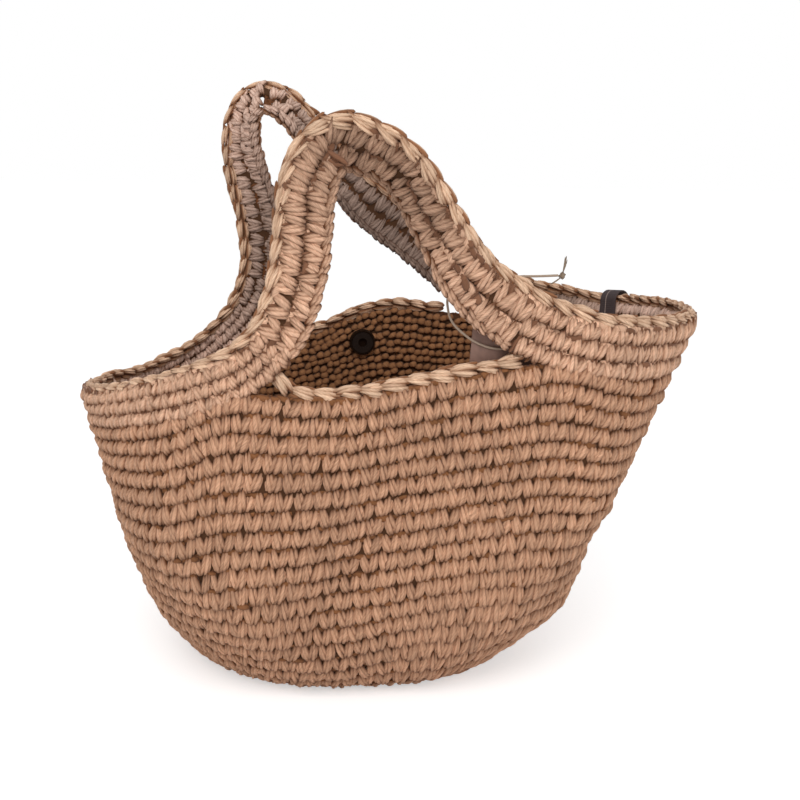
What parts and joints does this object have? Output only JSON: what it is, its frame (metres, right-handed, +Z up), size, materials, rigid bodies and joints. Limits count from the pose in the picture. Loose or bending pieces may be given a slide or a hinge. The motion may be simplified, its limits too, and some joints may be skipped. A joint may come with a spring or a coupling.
{
  "type": "jute tote bag",
  "caption": "Crocheted jute tote bag with a bowl-shaped body, two arched handles in one with the rim, chain-stitched edges, a magnetic snap, a rim label and a hang tag.",
  "frame": {"origin": "middle of the flat base, on the ground", "axes": "+Z up; X along the bag, +X to the right in the picture; the front wall, towards the viewer, is -Y"},
  "size_m": [0.353, 0.21, 0.3496],
  "materials": {
    "jute": "matte twisted jute yarn, single crochet",
    "jute_chain": "matte twisted jute yarn, slip-stitch chain",
    "snap_black": "black, semi-gloss",
    "snap_magnet": "dark, satin",
    "label": "dark woven tape, plain",
    "card": "smooth card, plain",
    "string": "thin twisted string"
  },
  "bodies": {
    "bag": {"base_disc": "jute", "lower_wall": "jute", "left_side": "jute", "right_side": "jute", "left_rim_chain": "jute_chain", "right_rim_chain": "jute_chain", "label_tab": "label"},
    "front_wall": {"front_panel": "jute", "front_slit_chain": "jute_chain", "front_foot_chain_left": "jute_chain", "front_foot_chain_right": "jute_chain", "snap_stud_disc": "snap_black", "snap_stud_post": "snap_black", "tag_tie": "string", "tag_knot": "string"},
    "back_wall": {"back_panel": "jute", "back_slit_chain": "jute_chain", "back_foot_chain_left": "jute_chain", "back_foot_chain_right": "jute_chain", "snap_socket_case": "snap_black", "snap_socket_magnet": "snap_magnet"},
    "front_handle": {"front_handle": "jute", "front_handle_chain": "jute_chain"},
    "back_handle": {"back_handle": "jute", "back_handle_chain": "jute_chain"},
    "tag": {"tag_card": "card", "tag_string": "string"}
  },
  "joints": [
    {"name": "front_mouth", "type": "slide", "parent": "bag", "child": "front_wall", "axis": [0, 1, 0], "range_m": [0, 0.09445], "stiffness_N_per_m": 40},
    {"name": "back_mouth", "type": "slide", "parent": "bag", "child": "back_wall", "axis": [0, -1, 0], "range_m": [0, 0.09445], "stiffness_N_per_m": 40},
    {"name": "front_handle_fold", "type": "hinge", "parent": "front_wall", "child": "front_handle", "pos_m": [0, -0.1053, 0.24], "axis": [1, 0, 0], "range_deg": [0, 150]},
    {"name": "back_handle_fold", "type": "hinge", "parent": "back_wall", "child": "back_handle", "pos_m": [0, 0.1053, 0.24], "axis": [-1, 0, 0], "range_deg": [0, 150]},
    {"name": "tag_swing", "type": "hinge", "parent": "front_wall", "child": "tag", "pos_m": [0.054, -0.0961, 0.238], "axis": [0, 1, 0], "range_deg": [-18, 18]}
  ]
}
